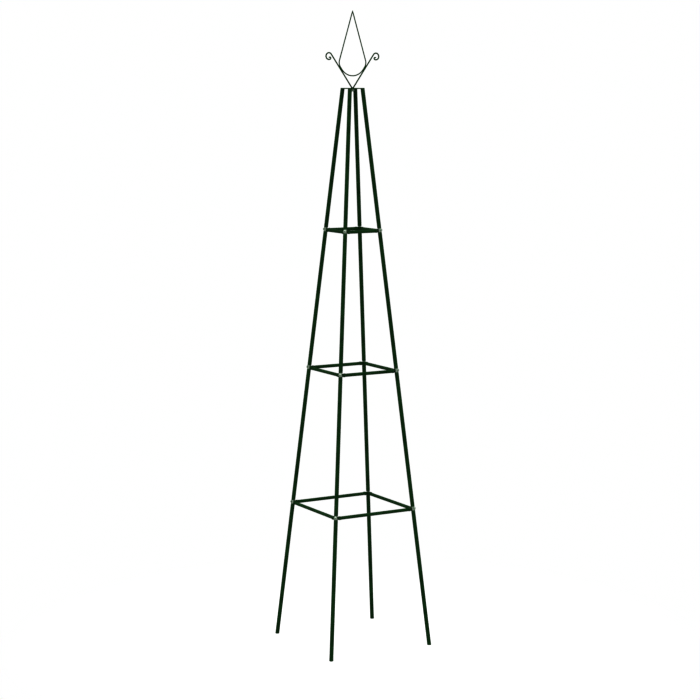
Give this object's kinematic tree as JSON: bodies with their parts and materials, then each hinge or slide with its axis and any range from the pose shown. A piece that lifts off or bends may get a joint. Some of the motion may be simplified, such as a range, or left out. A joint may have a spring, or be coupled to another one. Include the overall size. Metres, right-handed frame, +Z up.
{
  "type": "garden obelisk",
  "caption": "Tapering square obelisk for climbing plants: sectional steel-tube legs, screwed-on square rings, and a finial of a bent teardrop between scrolled arms.",
  "frame": {"origin": "on the ground, midway between the four feet", "axes": "+Z up; -Y is the front; the flat finial lies in the XZ plane, parallel to the front side of the base"},
  "size_m": [0.362, 0.362, 1.95],
  "materials": {
    "green_powder_coat": "satin powder coat, very dark green",
    "zinc_plated_steel": "zinc plating with a faint green tint"
  },
  "bodies": {
    "root": {"leg_front_left_bottom": "green_powder_coat", "leg_front_left_second": "green_powder_coat", "leg_front_left_third": "green_powder_coat", "leg_front_left_top": "green_powder_coat", "peg_front_left": "green_powder_coat", "leg_front_right_bottom": "green_powder_coat", "leg_front_right_second": "green_powder_coat", "leg_front_right_third": "green_powder_coat", "leg_front_right_top": "green_powder_coat", "peg_front_right": "green_powder_coat", "leg_back_right_bottom": "green_powder_coat", "leg_back_right_second": "green_powder_coat", "leg_back_right_third": "green_powder_coat", "leg_back_right_top": "green_powder_coat", "peg_back_right": "green_powder_coat", "leg_back_left_bottom": "green_powder_coat", "leg_back_left_second": "green_powder_coat", "leg_back_left_third": "green_powder_coat", "leg_back_left_top": "green_powder_coat", "peg_back_left": "green_powder_coat", "lower_ring_bar_front": "green_powder_coat", "lower_ring_bar_right": "green_powder_coat", "lower_ring_bar_back": "green_powder_coat", "lower_ring_bar_left": "green_powder_coat", "lower_ring_corner_front_left": "green_powder_coat", "lower_ring_corner_front_right": "green_powder_coat", "lower_ring_corner_back_right": "green_powder_coat", "lower_ring_corner_back_left": "green_powder_coat", "lower_ring_pins": "zinc_plated_steel", "lower_ring_screws": "zinc_plated_steel", "middle_ring_bar_front": "green_powder_coat", "middle_ring_bar_right": "green_powder_coat", "middle_ring_bar_back": "green_powder_coat", "middle_ring_bar_left": "green_powder_coat", "middle_ring_corner_front_left": "green_powder_coat", "middle_ring_corner_front_right": "green_powder_coat", "middle_ring_corner_back_right": "green_powder_coat", "middle_ring_corner_back_left": "green_powder_coat", "middle_ring_pins": "zinc_plated_steel", "middle_ring_screws": "zinc_plated_steel", "upper_ring_bar_front": "green_powder_coat", "upper_ring_bar_right": "green_powder_coat", "upper_ring_bar_back": "green_powder_coat", "upper_ring_bar_left": "green_powder_coat", "upper_ring_corner_front_left": "green_powder_coat", "upper_ring_corner_front_right": "green_powder_coat", "upper_ring_corner_back_right": "green_powder_coat", "upper_ring_corner_back_left": "green_powder_coat", "upper_ring_pins": "zinc_plated_steel", "upper_ring_screws": "zinc_plated_steel", "top_plate": "green_powder_coat", "finial_scroll_right": "green_powder_coat", "finial_scroll_left": "green_powder_coat", "finial_teardrop": "green_powder_coat", "finial_stud": "zinc_plated_steel", "finial_washer": "zinc_plated_steel", "finial_nut": "zinc_plated_steel"}
  },
  "joints": []
}
